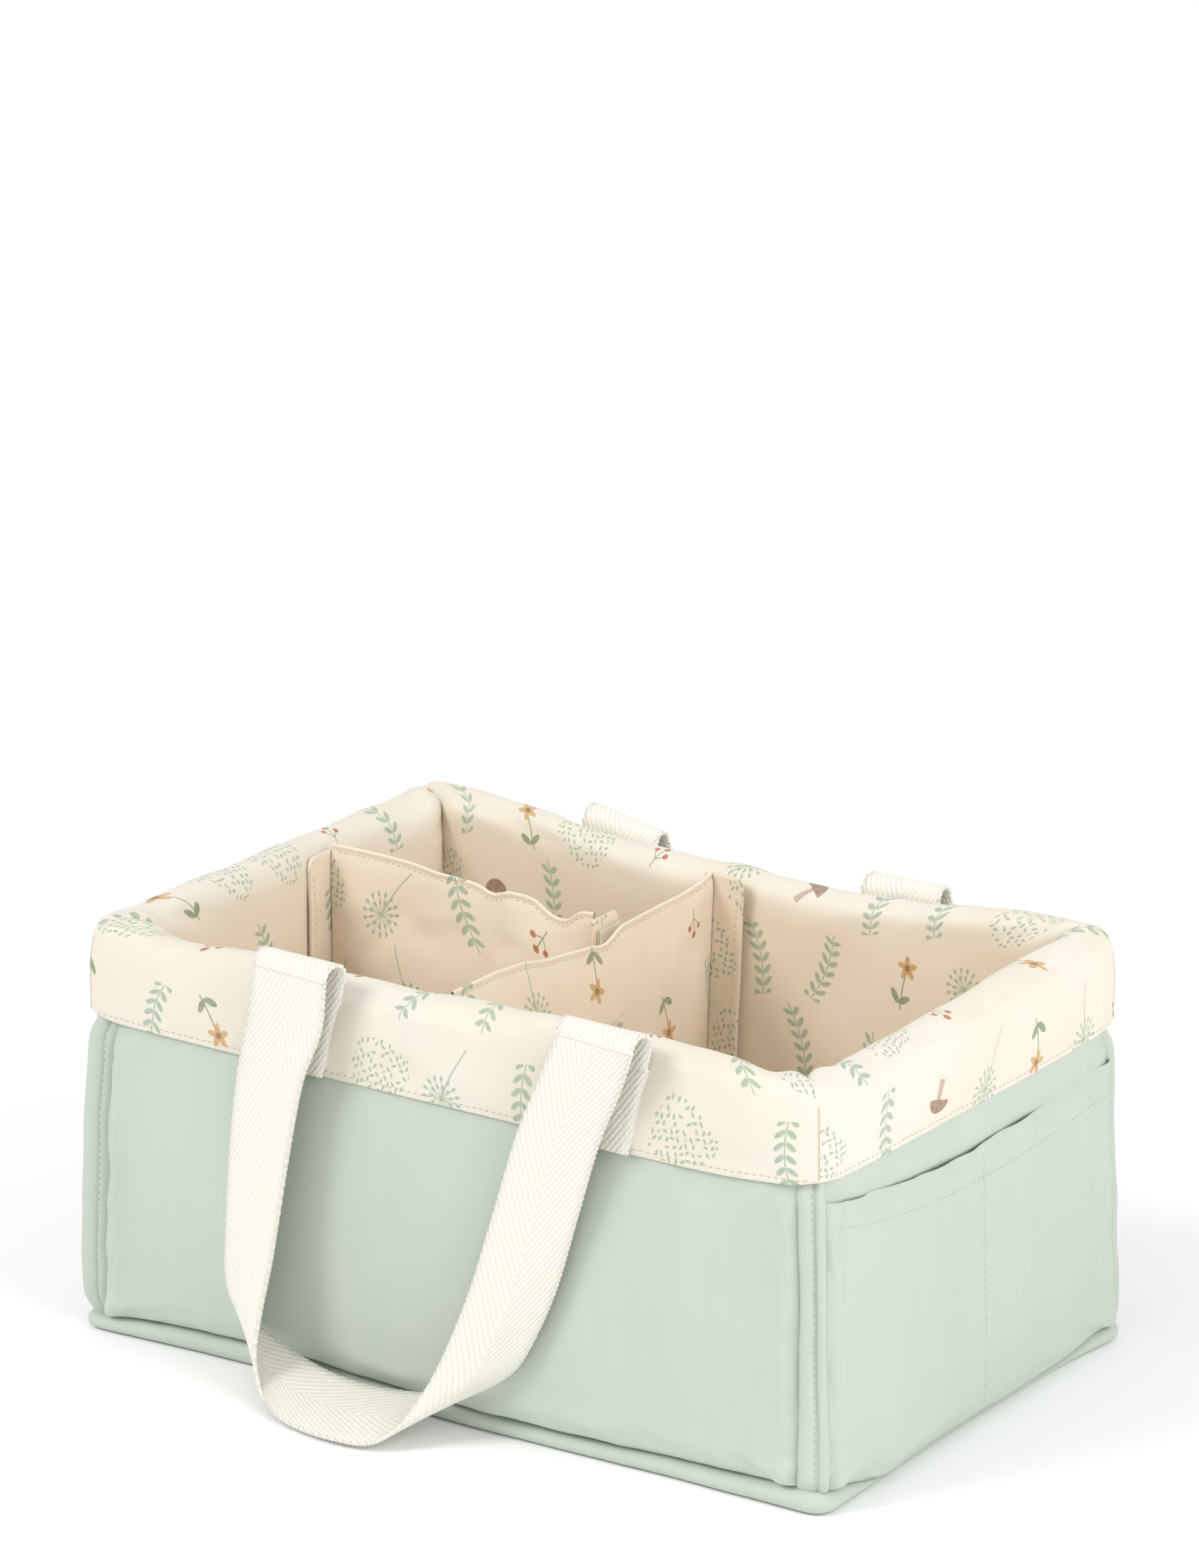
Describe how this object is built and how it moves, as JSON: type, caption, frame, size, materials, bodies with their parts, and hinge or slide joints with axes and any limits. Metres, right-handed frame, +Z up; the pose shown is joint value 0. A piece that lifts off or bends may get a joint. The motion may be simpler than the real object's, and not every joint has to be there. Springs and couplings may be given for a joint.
{
  "type": "diaper caddy",
  "caption": "Soft padded box with turned-down rim, webbing handles on the long sides, end pockets and lift-out dividers for nursery supplies.",
  "frame": {"origin": "centre of the underside of the base", "axes": "+X along the length towards the side with one wide compartment, -Y towards the front long side, +Z up"},
  "size_m": [0.3752, 0.3392, 0.1974],
  "materials": {
    "sage_cotton": "satin sage green cotton",
    "cream_print": "matt cream cotton with small scattered leaf and berry motifs",
    "lining_print": "matt warm cream cotton with small scattered leaf and berry motifs",
    "webbing": "off-white herringbone cotton webbing",
    "hook_tape": "cream hook-and-loop tape",
    "padding": "white felted padding",
    "board": "stiff matt board"
  },
  "bodies": {
    "basket": {"base_board": "board", "base_cover": "sage_cotton", "corner_welt_back_left": "sage_cotton", "corner_welt_back_right": "sage_cotton", "corner_welt_front_left": "sage_cotton", "corner_welt_front_right": "sage_cotton", "cuff_back": "cream_print", "cuff_front": "cream_print", "cuff_left": "cream_print", "cuff_right": "cream_print", "floor_padding": "padding", "handle_fold_back_left": "webbing", "handle_fold_back_right": "webbing", "handle_fold_front_left": "webbing", "handle_fold_front_right": "webbing", "handle_tab_back_left": "webbing", "handle_tab_back_right": "webbing", "handle_tab_front_left": "webbing", "handle_tab_front_right": "webbing", "lining_back": "lining_print", "lining_floor": "lining_print", "lining_front": "lining_print", "lining_left": "lining_print", "lining_right": "lining_print", "loop_tape_back": "hook_tape", "loop_tape_front": "hook_tape", "loop_tape_left": "hook_tape", "outer_panel_back": "sage_cotton", "outer_panel_front": "sage_cotton", "outer_panel_left": "sage_cotton", "outer_panel_right": "sage_cotton", "pocket_left": "sage_cotton", "pocket_right": "sage_cotton", "wall_padding_back": "padding", "wall_padding_front": "padding", "wall_padding_left": "padding", "wall_padding_right": "padding"},
    "front_handle": {"handle_front": "webbing"},
    "back_handle": {"handle_back": "webbing"},
    "cross_divider": {"cross_divider_core": "board", "cross_divider_cover": "lining_print", "cross_divider_flap_back": "lining_print", "cross_divider_flap_front": "lining_print", "cross_divider_hook_back": "hook_tape", "cross_divider_hook_front": "hook_tape", "loop_tape_cross_divider": "hook_tape"},
    "long_divider": {"long_divider_core": "board", "long_divider_cover": "lining_print", "long_divider_flap_left": "lining_print", "long_divider_flap_right": "lining_print", "long_divider_hook_left": "hook_tape", "long_divider_hook_right": "hook_tape"}
  },
  "joints": [
    {"name": "front_handle_swing", "type": "hinge", "parent": "basket", "child": "front_handle", "pos_m": [0.009, -0.13124, 0.1905], "axis": [-1, 0, 0], "range_deg": [0, 180], "deforming": ["handle_fold_front_left", "handle_fold_front_right"]},
    {"name": "back_handle_swing", "type": "hinge", "parent": "basket", "child": "back_handle", "pos_m": [0.004, 0.13124, 0.1905], "axis": [1, 0, 0], "range_deg": [0, 180], "deforming": ["handle_fold_back_left", "handle_fold_back_right"]},
    {"name": "cross_divider_lift", "type": "slide", "parent": "basket", "child": "cross_divider", "axis": [0, 0, 1], "range_m": [0, 0.175]},
    {"name": "long_divider_lift", "type": "slide", "parent": "basket", "child": "long_divider", "axis": [0, 0, 1], "range_m": [0, 0.175]}
  ]
}
